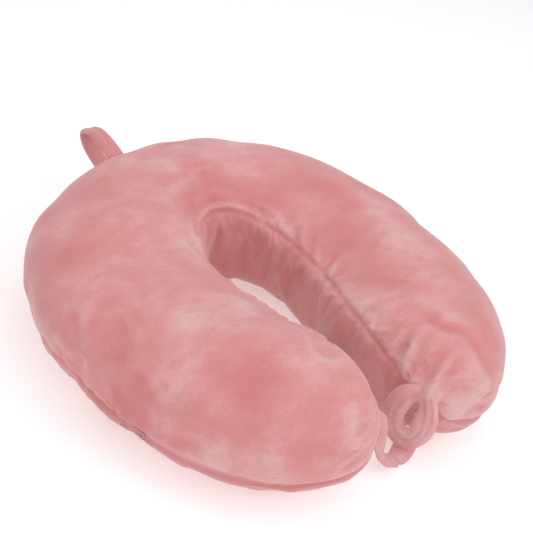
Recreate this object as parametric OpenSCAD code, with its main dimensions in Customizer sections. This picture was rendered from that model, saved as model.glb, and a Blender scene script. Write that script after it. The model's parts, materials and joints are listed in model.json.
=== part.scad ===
// U-shaped travel neck pillow: a moulded foam core in a knit liner and a removable
// velour cover, closed in front by a fabric loop and a stuffed toggle.
// +Z is up and the pillow lies on its base. The closed back of the U faces +Y, the
// mouth faces -Y, and the origin is the centre of the whole outline on the floor.

/* [Pillow outline] */
// Radius of the centre line round the neck
neck_r = 89; // [75:1:107]
// How far the centre line of each arm reaches forward of the neck's centre
arm_reach = 153; // [128:1:184]
// Angle through which each arm turns from the back to its tip
tip_turn = 167; // [155:1:171]
// Length of the rounded end of each arm
tip_length = 76; // [60:1:90]

/* [Pillow section] */
// Width of the section at the back of the neck
back_w = 96; // [80:1:110]
// Width of the section at the middle of each arm
arm_w = 120; // [100:1:130]
// Width of the section near each tip
tip_w = 100; // [84:1:118]
// Height at the back of the neck
back_h = 95; // [80:1:114]
// Height at the middle of each arm
arm_h = 84; // [70:1:101]
// Height near each tip
tip_h = 88; // [74:1:106]
// Height of the widest line of the section, as a share of the height
widest_at = 0.55; // [0.5:0.01:0.6]
// How far the pillow's own weight presses its underside flat
sag = 2; // [1:0.5:4]

/* [Cover and liner] */
// Thickness of the velour cover with its pile
cover_t = 2.4; // [2:0.1:3]
// Thickness of the knit liner
liner_t = 1; // [0.8:0.1:1.4]
// Gap between one layer and the next
layer_gap = 0.4; // [0.3:0.1:0.6]
// Angle of the outer seam below the widest line of the section
outer_seam = 20; // [16:1:26]
// Angle of the inner seam, measured over the top from the outside
inner_seam = 154; // [140:1:160]

/* [Flex lines] */
// Angle from the back at which each arm bends open
flex_turn = 45; // [40:1:50]
// Gap at each flex line
flex_gap = 0.3; // [0.2:0.1:1]

/* [Zip] */
// Distance along the centre line from the tip to the near end of the zip
zip_from_tip = 32; // [26:1:40]
// Length of the zip along the centre line
zip_run = 92; // [70:1:111]
// Height of the slot that the panels leave for the zip
zip_slot = 13; // [12:0.1:14]
// Width of each tape
tape_w = 10; // [8:0.5:11]
// Thickness of each tape
tape_t = 0.6; // [0.4:0.1:0.8]
// Width of each half of the coil
coil_w = 2.2; // [1.8:0.1:2.6]
// Thickness of the coil
coil_t = 2.2; // [1.8:0.1:2.4]
// Length of the slider
slider_len = 10; // [8:0.5:12]
// Length of the pull
pull_len = 18; // [14:1:24]
// Radius of the pin that holds the pull
pull_pin_r = 0.7; // [0.6:0.05:0.9]

/* [Closure] */
// Width of the closure loop outside
loop_w = 34; // [28:1:40]
// Height of the closure loop outside
loop_h = 46; // [40:1:50]
// Width of the stuffed fabric tube of the closure loop, seen face on
loop_tube_w = 11; // [8:0.5:12]
// Thickness of that tube
loop_tube_t = 6; // [5:0.5:7]
// Height of the underside of the closure loop above the floor
loop_low = 10.5; // [10:0.5:14]
// Width of the toggle strap
strap_w = 12; // [10:0.5:15]
// Thickness of the toggle strap
strap_t = 2.6; // [2:0.1:3.5]
// Length of the stuffed toggle
toggle_len = 28; // [24:1:34]
// Thickness of the stuffed toggle
toggle_t = 8.4; // [7:0.2:9]

/* [Hang loop] */
// Length of the hang loop beyond the seam
hang_len = 84; // [60:1:100]
// Width of the flat tape of the hang loop
hang_w = 11; // [8:0.5:14]
// Thickness of that tape
hang_t = 3; // [2:0.2:4]
// Height of the opening of the hang loop at its widest
hang_open = 17; // [12:1:22]
// Angle at which the hang loop rises from the seam
hang_rise = 12; // [0:1:25]

/* [Hidden] */

$fn = 48;
velour = "#d19696";
foam_white = "#f1e9d2";
liner_white = "#ece7e2";
tape_rose = "#b87a7c";
metal_grey = "#b9b9bd";

// Depth of each layer's outer face below the outside of the cover
liner_depth = cover_t + layer_gap;
foam_depth = liner_depth + liner_t + layer_gap;

// Roundness of the section above and below its widest line, and of the tips
top_round = 2;
bottom_round = 2.7;
tip_round = 2.5;
tip_round_z = 2.83;

// Stations along half of the centre line
back_steps = 5;
arm_steps = 6;
zip_steps = 3;
cap_steps = 3;
tip_steps = 4;

// Points round the section: the top panel, then the bottom panel
top_steps = 13;
bottom_steps = 12;

function smooth(q) = let (c = max(0, min(1, q))) c*c*(3 - 2*c);
function mix(a, b, share) = a + (b - a)*share;
function signed_power(v, e) = sign(v)*pow(abs(v), e);

// The centre line: a half circle round the neck, then half ellipses for the arms
function reach(turn) = turn > 90 ? arm_reach : neck_r;
function spine(turn) = [neck_r*sin(turn), reach(turn)*cos(turn)];
function heading(turn) = let (v = [neck_r*cos(turn), -reach(turn)*sin(turn)]) v/norm(v);
function outward(turn) = let (v = heading(turn)) [-v.y, v.x];
run_table = [
    for (turn = 0, run = 0; turn <= tip_turn;
         run = run + norm(spine(turn + 1) - spine(turn)), turn = turn + 1) [run, turn]
];
half_run = run_table[len(run_table) - 1][0];
turn_table = [for (row = run_table) [row[1], row[0]]];
function turn_at(run) = lookup(run, run_table);
function run_at(turn) = lookup(turn, turn_table);

// Half width and height of the section at a distance along the centre line
function half_width(run) = let (f = run/half_run)
    mix(mix(back_w, arm_w, smooth(f/0.3)), tip_w, smooth((f - 0.65)/0.35))/2;
function height(run) = let (f = run/half_run)
    mix(mix(back_h, arm_h, smooth(f/0.5)), tip_h, smooth((f - 0.5)/0.5));

// The seam falls back here to leave room for the zip behind the cover
zip_relief = 5.5;
zip_start = half_run - zip_from_tip - zip_run;
zip_end = half_run - zip_from_tip;
zip_middle_run = (zip_start + zip_end)/2;
relief_ends = 14;
relief_fade = 18;
function relief(run, angle) = zip_relief
    *smooth((run - zip_start)/relief_ends + 1)*smooth((zip_end - run)/relief_ends + 1)
    *smooth((relief_reach - abs(angle - (angle > 180 ? 360 : 0) + outer_seam))/relief_fade);

// A point of the section: outward distance from the centre line, and height
function section_point(run, cap, depth, angle, zipped = false) =
    let (
        up = sin(angle) >= 0,
        e = 2/(up ? top_round : bottom_round),
        waist = widest_at*height(run),
        rise = up ? height(run) - waist - depth : waist + sag - depth,
        cap_w = pow(1 - pow(cap, tip_round), 1/tip_round),
        cap_z = pow(1 - pow(cap, tip_round), 1/tip_round_z),
        inset = depth + (zipped && depth > cover_t ? relief(run, angle) : 0)
    )
    [(half_width(run) - inset)*cap_w*signed_power(cos(angle), e),
     max(depth, waist + rise*cap_z*signed_power(sin(angle), e))];

// The same point in space, on the +X half when side is 1
function place(run, outward_by, z, side = 1) =
    let (turn = turn_at(run), p = spine(turn) + outward(turn)*outward_by)
    [side*p.x, p.y, z];
function skin_point(station, depth, angle, zipped) =
    let (
        side = station[0] < 0 ? -1 : 1,
        cap = station[1],
        run = abs(station[0]),
        p = section_point(run, cap, depth, angle, zipped)
    )
    place(run - depth*cap, p.x, p.y, side);

// Stations as [distance along the centre line, share of the rounded tip]
flex_run = run_at(flex_turn);
cap_start = half_run - tip_length;
slot_margin = 1.5;
slot_start = zip_start - slot_margin;
slot_end = zip_end + slot_margin;
slot_lift = asin((slot_end - cap_start)/tip_length);
function cap_station(lift) = [cap_start + tip_length*sin(lift), sin(lift)];
back_stations = [for (i = [-back_steps:back_steps]) [flex_run*i/back_steps, 0]];
arm_stations = [
    for (i = [0:arm_steps - 1]) [mix(flex_run + flex_gap, slot_start, i/arm_steps), 0],
    for (i = [0:zip_steps - 1]) [mix(slot_start, cap_start, i/zip_steps), 0],
    for (i = [0:cap_steps - 1]) cap_station(slot_lift*i/cap_steps),
    for (i = [0:tip_steps]) cap_station(mix(slot_lift, 90, i/tip_steps))
];

// Angle of the section's outer side at a height below its widest line
function share_of_tip(run) = max(0, (run - cap_start)/tip_length);
function angle_at(run, z) =
    let (waist = widest_at*height(run),
         cap_z = pow(1 - pow(share_of_tip(run), tip_round), 1/tip_round_z))
    -asin(pow((waist - z)/((waist + sag)*cap_z), bottom_round/2));

// Angles round the section, with the seam edges parted where the zip slot is
top_angles = [for (i = [0:top_steps]) mix(-outer_seam, inner_seam, i/top_steps)];
bottom_angles = [for (i = [0:bottom_steps]) mix(inner_seam, 360 - outer_seam, i/bottom_steps)];
all_angles = [
    for (i = [0:top_steps]) top_angles[i],
    for (i = [1:bottom_steps - 1]) bottom_angles[i]
];
function open_slot(angles, station, zipped) =
    let (run = abs(station[0]), last = len(angles) - 1,
         opened = zipped && run >= slot_start && run <= slot_end)
    [for (i = [0:last])
        opened && i == 0 && angles[0] < 0 ? angle_at(run, zip_z + zip_slot/2)
        : opened && i == last && angles[last] > 270 ? 360 + angle_at(run, zip_z - zip_slot/2)
        : angles[i]];

// Faces of a grid of points, leaving out the ones that a closed tip makes empty
function usable(points, face) = points[face[0]] != points[face[1]]
    && points[face[1]] != points[face[2]] && points[face[2]] != points[face[0]];
function grid_faces(rows, columns, closed, first) = [
    for (i = [0:rows - 2], j = [0:columns - (closed ? 1 : 2)])
        let (a = first + i*columns + j, b = first + i*columns + (j + 1)%columns)
        each [[a, b + columns, b], [a, a + columns, b + columns]]
];
function flipped(faces) = [for (f = faces) [f[2], f[1], f[0]]];
function ribbon(outer, inner) = [
    for (k = [0:len(outer) - 2])
        each [[outer[k], outer[k + 1], inner[k + 1]], [outer[k], inner[k + 1], inner[k]]]
];

// A solid core: one closed skin with flat ends, or a closed tip
module core(stations, depth, zipped = false) {
    columns = len(all_angles);
    rows = len(stations);
    points = [for (s = stations, a = all_angles) skin_point(s, depth, a, zipped)];
    sides = grid_faces(rows, columns, true, 0);
    near_end = [[for (j = [0:columns - 1]) j]];
    far_end = stations[rows - 1][1] == 1 ? [] : [[for (j = [columns - 1:-1:0]) (rows - 1)*columns + j]];
    polyhedron(points, [for (f = concat(sides, near_end, far_end)) if (usable(points, f)) f]);
}

// A layer: an outer skin and an inner one, joined along every free edge
module layer(stations, angles, closed, depth, thickness, zipped = false) {
    columns = len(angles);
    rows = len(stations);
    last_row = (rows - 1)*columns;
    inner = rows*columns;
    points = [
        for (d = [depth, depth + thickness], s = stations,
             a = closed ? angles : open_slot(angles, s, zipped)) skin_point(s, d, a, zipped)
    ];
    near_end = [for (j = [0:columns - (closed ? 0 : 1)]) j%columns];
    far_end = [for (j = near_end) last_row + j];
    first_edge = [for (i = [0:rows - 1]) i*columns];
    last_edge = [for (i = [0:rows - 1]) i*columns + columns - 1];
    faces = concat(
        grid_faces(rows, columns, closed, 0),
        flipped(grid_faces(rows, columns, closed, inner)),
        ribbon(near_end, [for (k = near_end) k + inner]),
        flipped(ribbon(far_end, [for (k = far_end) k + inner])),
        closed ? [] : flipped(ribbon(first_edge, [for (k = first_edge) k + inner])),
        closed ? [] : ribbon(last_edge, [for (k = last_edge) k + inner])
    );
    polyhedron(points, [for (f = faces) if (usable(points, f)) f]);
}

// A tube swept through sections that are lists of points in space
module sweep(sections, closed = false) {
    columns = len(sections[0]);
    rows = len(sections);
    sides = [
        for (i = [0:rows - (closed ? 1 : 2)], j = [0:columns - 1])
            let (a = i*columns + j, b = i*columns + (j + 1)%columns,
                 c = ((i + 1)%rows)*columns + j, d = ((i + 1)%rows)*columns + (j + 1)%columns)
            each [[a, d, b], [a, c, d]]
    ];
    near_end = [for (j = [0:columns - 1]) j];
    far_end = [for (j = [columns - 1:-1:0]) (rows - 1)*columns + j];
    polyhedron([for (section = sections) each section],
               closed ? sides : concat(sides, [near_end, far_end]));
}

// An oval with flattened sides, as points across and along the thickness
function oval(w, t, sides, squareness) = [
    for (j = [0:sides - 1]) let (a = 360*(j + 0.5)/sides)
        [w/2*signed_power(cos(a), squareness), t/2*signed_power(sin(a), squareness)]
];
function cut_across(centre, across, normal, outline) = [
    for (p = outline) centre + across*p.x + normal*p.y
];

// The end of an arm: its centre point, and directions out of the tip and to the front
tip_z = widest_at*height(half_run);
tip_point = concat(spine(tip_turn), [0]);
tip_ahead = concat(heading(tip_turn), [0]);
tip_front = concat(outward(tip_turn), [0]);
function from_tip(ahead, front, z) = tip_point + tip_ahead*ahead + tip_front*front + [0, 0, z];

// Closure loop: a closed oval of stuffed tube that hangs flat against the right tip
loop_stand_off = 2.5;
loop_steps = 24;
loop_centre = from_tip(loop_stand_off + loop_tube_t/2, 0, loop_low + loop_h/2);
module closure_loop_shape() {
    sweep([
        for (i = [0:loop_steps - 1])
            let (a = 360*i/loop_steps, spoke = tip_front*cos(a) + [0, 0, sin(a)],
                 centre = loop_centre + tip_front*cos(a)*(loop_w - loop_tube_w)/2
                     + [0, 0, sin(a)*(loop_h - loop_tube_w)/2])
            cut_across(centre, spoke, tip_ahead, oval(loop_tube_w, loop_tube_t, 8, 0.8))
    ], true);
}

// Toggle strap: out of the left tip, down beside the loop and along the floor under it
strap_route = [
    [0.8, 0, 46], [4, 0, 45], [8, 0, 40], [10, 0, 32], [12, 0, 23],
    [15, 0, 14], [20, -1, 8], [27, -2.5, 5.4]
];
strap_points = [for (p = strap_route) from_tip(p.x, p.y, p.z)];
function along(points, i) = let (last = len(points) - 1,
    v = points[min(i + 1, last)] - points[max(i - 1, 0)]) v/norm(v);
module toggle_strap_shape() {
    sweep([
        for (i = [0:len(strap_points) - 1])
            let (t = along(strap_points, i), n = cross(t, tip_front))
            cut_across(strap_points[i], tip_front, n/norm(n), oval(strap_w, strap_t, 8, 0.5))
    ]);
}

// Toggle: a stuffed bar of the same cloth on the strap's end, lying along the mouth
toggle_w = strap_w + 2.5;
toggle_low = 0.6;
toggle_steps = 8;
toggle_start = strap_points[len(strap_points) - 1];
toggle_turn = 24;
toggle_heading = [cos(toggle_turn), sin(toggle_turn), 0];
module toggle_bar_shape() {
    side = [-toggle_heading.y, toggle_heading.x, 0];
    start = [toggle_start.x*-1, toggle_start.y, toggle_low + toggle_t/2];
    sweep([
        for (i = [0:toggle_steps])
            let (share = i/toggle_steps, bulge = 0.72 + 0.28*pow(sin(180*share), 0.4))
            cut_across(start + toggle_heading*toggle_len*share, side, [0, 0, 1],
                       oval(toggle_w*bulge, toggle_t*bulge, 12, 0.7))
    ]);
}

// Hang loop: a flat tape folded back on itself, both ends sewn into the back seam
hang_gap = 2.4;
hang_root = seam_point(0) + [0, hang_gap, 0];
hang_steps = 30;
hang_outline = [
    for (i = [0:hang_steps])
        let (a = 360*i/hang_steps, ahead = (hang_len - hang_t/2)*(1 - cos(a))/2,
             spread = 0.65*(hang_open + hang_t)*sin(a)*pow(sin(a/2), 1.2),
             apart = (hang_t/2 + 0.1)*pow(cos(a/2), 2)*sign(180 - a))
        [ahead*cos(hang_rise) - (spread + apart)*sin(hang_rise),
         ahead*sin(hang_rise) + (spread + apart)*cos(hang_rise)]
];
hang_points = [for (p = hang_outline) hang_root + [0, p.x, p.y]];
hang_sections = [
    for (i = [0:hang_steps])
        let (t = along(hang_points, i), n = cross(t, [1, 0, 0]))
        cut_across(hang_points[i], [1, 0, 0], n/norm(n), oval(hang_w, hang_t, 8, 0.5))
];

// The zip follows a true arc through three points of the left arm's outer seam
function seam_point(run) =
    let (p = section_point(run, share_of_tip(run), 0, -outer_seam)) place(run, p.x, p.y);
function outward_at(run, z) = section_point(run, share_of_tip(run), 0, angle_at(run, z)).x;
function circle_centre(a, b, c) =
    let (k = 2*(a.x*(b.y - c.y) + b.x*(c.y - a.y) + c.x*(a.y - b.y)),
         aa = a.x*a.x + a.y*a.y, bb = b.x*b.x + b.y*b.y, cc = c.x*c.x + c.y*c.y)
    [(aa*(b.y - c.y) + bb*(c.y - a.y) + cc*(a.y - b.y))/k,
     (aa*(c.x - b.x) + bb*(a.x - c.x) + cc*(b.x - a.x))/k, 0];
zip_middle = seam_point(zip_middle_run);
zip_centre = circle_centre(seam_point(zip_start), zip_middle, seam_point(zip_end));
zip_z = (seam_point(zip_start).z + zip_middle.z + seam_point(zip_end).z)/3;
function zip_arm(p) = [p.x - zip_centre.x, p.y - zip_centre.y];
zip_r = norm(zip_arm(zip_middle));
function angle_of(p) = atan2(p.y, p.x);
zip_back_angle = angle_of(zip_arm(seam_point(zip_start)));
zip_tip_angle = angle_of(zip_arm(seam_point(zip_end)));
function arc_angle(length) = length/zip_r*180/PI;

// How far the seam may stray from that arc, and the radius of each zip face
zip_fit = 1.2;
tape_r = zip_r - cover_t - layer_gap - zip_fit;
coil_r = tape_r + coil_t;
coil_gap = 0.15;
slider_gap = 0.35;
slider_wall = 1;
slider_r = coil_r + slider_gap;
stop_len = 1.6;
stop_t = coil_t + 0.3;
zip_margin = 1;

// The lower tape leans in as far as the pillow's side does below the seam, and the foam
// and liner fall back as far down as the tape goes
tape_spare = 0.8;
zip_runs = [zip_start, zip_middle_run, zip_end];
relief_reach = relief_fade - outer_seam - min([for (run = zip_runs) angle_at(run, zip_z - tape_w)]);
function side_lean(run) =
    outward_at(run, seam_point(run).z) - outward_at(run, zip_z - tape_w);
tape_lean = max([for (run = zip_runs) side_lean(run)]) + tape_spare;

// An outline of [radius, height] turned along part of the zip's arc
module zip_arc(from, to, outline) {
    translate([zip_centre.x, zip_centre.y, zip_z]) rotate([0, 0, to])
        rotate_extrude(angle = from - to, $fn = 360) polygon(outline);
}
function block(r1, r2, z1, z2) = [[r1, z1], [r2, z1], [r2, z2], [r1, z2]];
coil_back_angle = zip_back_angle - arc_angle(zip_margin + stop_len + 0.2);
coil_tip_angle = zip_tip_angle + arc_angle(zip_margin + stop_len + 0.2);

module zip_tape_upper_shape() {
    zip_arc(zip_back_angle, zip_tip_angle, block(tape_r - tape_t, tape_r, coil_gap, tape_w));
}
module zip_tape_lower_shape() {
    zip_arc(zip_back_angle, zip_tip_angle, [
        [tape_r - tape_t, -coil_gap], [tape_r - tape_t - tape_lean, -tape_w],
        [tape_r - tape_lean, -tape_w], [tape_r, -coil_gap]
    ]);
}
module zip_coil_shape(side) {
    zip_arc(coil_back_angle, coil_tip_angle,
            block(tape_r, coil_r, side*coil_gap, side*(coil_gap + coil_w)));
}
module zip_stop_shape(angle) {
    zip_arc(angle + arc_angle(stop_len/2), angle - arc_angle(stop_len/2),
            block(tape_r, tape_r + stop_t, -coil_gap - coil_w, coil_gap + coil_w));
}

// Slider: a channel over both halves of the coil, with two ears for the pull's pin
slider_angle = coil_back_angle - arc_angle(slider_len/2 + 0.2);
slider_half = coil_gap + coil_w + slider_gap + slider_wall;
ear_t = 0.8;
ear_half = 3.2;
pull_clearance = 0.06;
barrel_r = pull_pin_r + 0.65;
pull_w = 2*(ear_half - ear_t - 0.1);
pull_pin_at = slider_r + slider_wall + barrel_r + 0.35;
module at_slider(radius) {
    translate([zip_centre.x, zip_centre.y, zip_z]) rotate([0, 0, slider_angle])
        translate([radius, 0, 0]) children();
}
module zip_slider_shape() {
    from = slider_angle + arc_angle(slider_len/2);
    to = slider_angle - arc_angle(slider_len/2);
    wall_z = slider_half - slider_wall;
    zip_arc(from, to, [
        [tape_r + 0.5, -slider_half], [slider_r + slider_wall, -slider_half],
        [slider_r + slider_wall, slider_half], [tape_r + 0.5, slider_half],
        [tape_r + 0.5, wall_z], [slider_r, wall_z], [slider_r, -wall_z], [tape_r + 0.5, -wall_z]
    ]);
    for (z = [-ear_half, ear_half - ear_t])
        at_slider(0) translate([0, 0, z]) difference() {
            union() {
                translate([pull_pin_at, 0, 0]) cylinder(h = ear_t, r = 1.5);
                translate([slider_r + 0.4, -1.5, 0]) cube([pull_pin_at - slider_r - 0.4, 3, ear_t]);
            }
            translate([pull_pin_at, 0, -1]) cylinder(h = ear_t + 2, r = pull_pin_r);
        }
}
module zip_pull_pin_shape() {
    at_slider(pull_pin_at) translate([0, 0, -ear_half]) cylinder(h = 2*ear_half, r = pull_pin_r);
}

// Pull: a barrel on the pin and a flat tab that lies along the zip towards the tip
pull_t = 1.1;
module zip_pull_shape() {
    at_slider(pull_pin_at) translate([0, 0, -pull_w/2]) difference() {
        union() {
            cylinder(h = pull_w, r = barrel_r);
            translate([-pull_t/2, -pull_len, 0]) cube([pull_t, pull_len, pull_w]);
        }
        translate([0, 0, -1]) cylinder(h = pull_w + 2, r = pull_pin_r + pull_clearance);
        translate([-pull_t, -pull_len + 2.4, pull_w/2]) rotate([0, 90, 0])
            cylinder(h = 2*pull_t, r = 1.2);
    }
}

// Middle of the outline from front to back, which becomes the origin
front_y = min([for (s = arm_stations, a = [0, -outer_seam]) skin_point(s, 0, a, false).y]);
back_y = max([for (section = hang_sections, p = section) p.y]);
shift_y = (front_y + back_y)/2;
module centred() {
    translate([0, -shift_y, 0]) children();
}
module left() {
    mirror([1, 0, 0]) children();
}

module foam_core_back() {
    color(foam_white) centred() core(back_stations, foam_depth);
}
module foam_core_right_arm() {
    color(foam_white) centred() core(arm_stations, foam_depth);
}
module foam_core_left_arm() {
    color(foam_white) centred() left() core(arm_stations, foam_depth, true);
}
module liner_back() {
    color(liner_white) centred() layer(back_stations, all_angles, true, liner_depth, liner_t);
}
module liner_right_arm() {
    color(liner_white) centred() layer(arm_stations, all_angles, true, liner_depth, liner_t);
}
module liner_left_arm() {
    color(liner_white) centred() left()
        layer(arm_stations, all_angles, true, liner_depth, liner_t, true);
}
module cover_top_back() {
    color(velour) centred() layer(back_stations, top_angles, false, 0, cover_t);
}
module cover_top_right_arm() {
    color(velour) centred() layer(arm_stations, top_angles, false, 0, cover_t);
}
module cover_top_left_arm() {
    color(velour) centred() left() layer(arm_stations, top_angles, false, 0, cover_t, true);
}
module cover_bottom_back() {
    color(velour) centred() layer(back_stations, bottom_angles, false, 0, cover_t);
}
module cover_bottom_right_arm() {
    color(velour) centred() layer(arm_stations, bottom_angles, false, 0, cover_t);
}
module cover_bottom_left_arm() {
    color(velour) centred() left() layer(arm_stations, bottom_angles, false, 0, cover_t, true);
}

module zip_tape_upper() {
    color(tape_rose) centred() left() zip_tape_upper_shape();
}
module zip_tape_lower() {
    color(tape_rose) centred() left() zip_tape_lower_shape();
}
module zip_coil_upper() {
    color(tape_rose) centred() left() zip_coil_shape(1);
}
module zip_coil_lower() {
    color(tape_rose) centred() left() zip_coil_shape(-1);
}
module zip_stop_near_tip() {
    color(metal_grey) centred() left()
        zip_stop_shape(zip_tip_angle + arc_angle(zip_margin + stop_len/2));
}
module zip_stop_near_back() {
    color(metal_grey) centred() left()
        zip_stop_shape(zip_back_angle - arc_angle(zip_margin + stop_len/2));
}
module zip_slider() {
    color(metal_grey) centred() left() zip_slider_shape();
}
module zip_pull_pin() {
    color(metal_grey) centred() left() zip_pull_pin_shape();
}
module zip_pull() {
    color(metal_grey) centred() left() zip_pull_shape();
}
module toggle_strap() {
    color(velour) centred() left() toggle_strap_shape();
}
module toggle_bar() {
    color(velour) centred() toggle_bar_shape();
}
module closure_loop() {
    color(velour) centred() closure_loop_shape();
}
module hang_loop() {
    color(velour) centred() sweep(hang_sections);
}

foam_core_back();
foam_core_left_arm();
foam_core_right_arm();
liner_back();
liner_left_arm();
liner_right_arm();
cover_top_back();
cover_top_left_arm();
cover_top_right_arm();
cover_bottom_back();
cover_bottom_left_arm();
cover_bottom_right_arm();
zip_tape_upper();
zip_tape_lower();
zip_coil_upper();
zip_coil_lower();
zip_stop_near_tip();
zip_stop_near_back();
zip_slider();
zip_pull_pin();
zip_pull();
toggle_strap();
toggle_bar();
closure_loop();
hang_loop();
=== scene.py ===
import json
import math

import bpy
import numpy as np
from mathutils import Matrix, Vector


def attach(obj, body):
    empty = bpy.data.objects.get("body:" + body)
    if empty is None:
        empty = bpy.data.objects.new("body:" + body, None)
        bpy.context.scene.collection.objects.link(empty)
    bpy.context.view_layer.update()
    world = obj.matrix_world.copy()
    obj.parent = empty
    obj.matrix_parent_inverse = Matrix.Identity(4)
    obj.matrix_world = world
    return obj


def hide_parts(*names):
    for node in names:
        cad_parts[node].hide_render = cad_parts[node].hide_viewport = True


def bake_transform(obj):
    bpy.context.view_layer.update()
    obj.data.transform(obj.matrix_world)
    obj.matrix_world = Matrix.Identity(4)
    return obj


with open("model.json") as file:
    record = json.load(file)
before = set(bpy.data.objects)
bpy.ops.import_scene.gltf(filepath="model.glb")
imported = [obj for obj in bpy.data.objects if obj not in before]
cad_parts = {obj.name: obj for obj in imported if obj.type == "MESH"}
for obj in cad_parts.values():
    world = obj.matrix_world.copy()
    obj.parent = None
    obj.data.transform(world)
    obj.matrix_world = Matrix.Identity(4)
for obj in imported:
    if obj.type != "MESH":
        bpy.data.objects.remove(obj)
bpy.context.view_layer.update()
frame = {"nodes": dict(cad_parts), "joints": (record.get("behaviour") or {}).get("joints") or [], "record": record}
bpy.ops.object.select_all(action="DESELECT")

# ---------------------------------------------------------------------------------------
# Foam core
# One moulding of slow-recovery polyurethane foam in the shape of the whole U, which fills the
# liner and isn't glued. It is made here in two halves that meet at the middle of the back.

NECK_RADIUS = 0.089
ARM_REACH = 0.153
TIP_TURN = 167
TIP_LENGTH = 0.076
BACK_WIDTH, ARM_WIDTH, TIP_WIDTH = 0.096, 0.120, 0.100
BACK_HEIGHT, ARM_HEIGHT, TIP_HEIGHT = 0.095, 0.084, 0.088
# Shares of the way from the middle of the back to a tip where the width and height turn
WIDEST_BY, NARROWS_FROM = 0.3, 0.65
LOWEST_AT = 0.5
# The section is widest at a share of its height. It sags at the bottom, which is flatter than
# the top. The tips are rounded by powers of their own.
WIDEST_AT = 0.55
SAG = 0.002
TOP_ROUND, BOTTOM_ROUND = 2, 2.7
TIP_ROUND, TIP_ROUND_Z = 2.5, 2.83
OUTER_SEAM, INNER_SEAM = -20, 154
FOAM_DEPTH = 0.0078
CAP_SHARE = 0.7

# The flat underside is centred on the neck's centre, so its mount gives the neck's place.
NECK_Y = frame["record"]["mounts"][0]["pos_m"][1] - NECK_RADIUS


def smooth(share):
    clipped = np.clip(share, 0, 1)
    return clipped*clipped*(3 - 2*clipped)


def mix(first, second, share):
    return first + (second - first)*share


def signed_power(value, exponent):
    return np.sign(value)*np.abs(value)**exponent


def unit(vectors):
    return vectors/np.maximum(np.linalg.norm(vectors, axis=-1, keepdims=True), 1e-12)


def spine(turn):
    """The centre line: a half circle round the neck, then half ellipses for the arms."""
    reach = np.where(turn > 90, ARM_REACH, NECK_RADIUS)
    angle = np.radians(turn)
    return np.stack([NECK_RADIUS*np.sin(angle), reach*np.cos(angle)], -1)


def heading(turn):
    reach = np.where(turn > 90, ARM_REACH, NECK_RADIUS)
    angle = np.radians(turn)
    return unit(np.stack([NECK_RADIUS*np.cos(angle), -reach*np.sin(angle)], -1))


turns = np.arange(TIP_TURN + 1)
runs = np.append(0, np.cumsum(np.linalg.norm(np.diff(spine(turns), axis=0), axis=1)))
HALF_RUN = runs[-1]
CAP_START = HALF_RUN - TIP_LENGTH


def half_width(run):
    share = run/HALF_RUN
    arm = mix(BACK_WIDTH, ARM_WIDTH, smooth(share/WIDEST_BY))
    return mix(arm, TIP_WIDTH, smooth((share - NARROWS_FROM)/(1 - NARROWS_FROM)))/2


def height(run):
    share = run/HALF_RUN
    arm = mix(BACK_HEIGHT, ARM_HEIGHT, smooth(share/LOWEST_AT))
    return mix(arm, TIP_HEIGHT, smooth((share - LOWEST_AT)/(1 - LOWEST_AT)))


def place(run, outward_by, z, side):
    """A point at a distance along the centre line and outward from it; side 1 is +X."""
    turn = np.interp(run, runs, turns)
    along = heading(turn)
    x = spine(turn)[..., 0] - along[..., 1]*outward_by
    y = spine(turn)[..., 1] + along[..., 0]*outward_by
    return np.stack([side*x, y + NECK_Y, z], -1)


def stations(rows, columns):
    """The side, run, tip factors and section angle of each point of a grid over the pillow.
    Rows go from the left tip round the back to the right tip, and columns go from the outer
    seam over the top to the inner seam and back underneath."""
    share = np.linspace(-1, 1, rows)[:, None]
    lift = np.clip((np.abs(share) - CAP_SHARE)/(1 - CAP_SHARE), 0, 1)*math.pi/2
    cap = np.sin(lift)**(2/TIP_ROUND)
    straight = np.minimum(np.abs(share)/CAP_SHARE, 1)*CAP_START
    round_it = (np.arange(columns)/columns)[None, :]
    angle = np.where(round_it < 0.5, mix(OUTER_SEAM, INNER_SEAM, round_it*2),
                     mix(INNER_SEAM, 360 + OUTER_SEAM, round_it*2 - 1))
    shape = (rows, columns)
    return {
        "side": np.broadcast_to(np.where(share < 0, -1, 1), shape),
        "run": np.broadcast_to(straight + TIP_LENGTH*cap, shape),
        "cap": np.broadcast_to(cap, shape),
        "across": np.broadcast_to(np.cos(lift)**(2/TIP_ROUND), shape),
        "up": np.broadcast_to(np.cos(lift)**(2/TIP_ROUND_Z), shape),
        "angle": np.broadcast_to(angle, shape),
    }


# The foam and the liner, deeper than the cover's wall, are set back behind the zip. The set
# back ends at an angle each way from the outer seam, and fades out before it.
ZIP_FROM_TIP, ZIP_RUN = 0.032, 0.092
ZIP_START = HALF_RUN - ZIP_FROM_TIP - ZIP_RUN
ZIP_END = HALF_RUN - ZIP_FROM_TIP
ZIP_RECESS = 0.0055
ZIP_RECESS_ENDS = 0.014
ZIP_RECESS_SPREAD, ZIP_RECESS_FADE = 34, 18
COVER_DEPTH = 0.0024


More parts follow.
